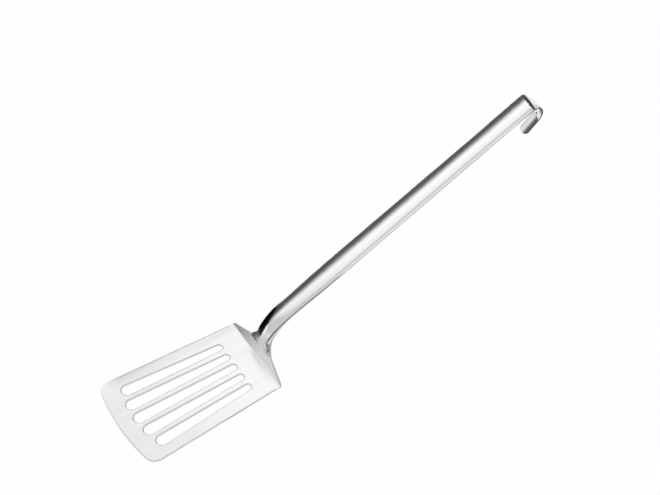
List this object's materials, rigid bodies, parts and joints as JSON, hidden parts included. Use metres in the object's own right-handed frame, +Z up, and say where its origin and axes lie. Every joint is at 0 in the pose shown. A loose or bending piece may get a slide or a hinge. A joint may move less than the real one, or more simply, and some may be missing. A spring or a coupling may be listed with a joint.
{
  "type": "fish spatula",
  "caption": "Slotted sheet-metal turner with a fanned drain-slot blade, an upturned heel, a slim domed hollow handle and a curled hanging hook.",
  "frame": {"origin": "on the blade's underside, on the solid web between the slots and the heel's bend, on the centre line", "axes": "+X from the blade along the handle, +Y across the blade, +Z up out of the blade's upper face"},
  "size_m": [0.3786, 0.0816, 0.1519],
  "materials": {
    "satin_steel": "satin, finely brushed along the blade",
    "polished_steel": "polished to a soft mirror"
  },
  "bodies": {
    "root": {"slotted_blade": "satin_steel", "handle_back": "polished_steel", "handle_shell": "polished_steel", "spot_welds": "satin_steel"}
  },
  "joints": []
}
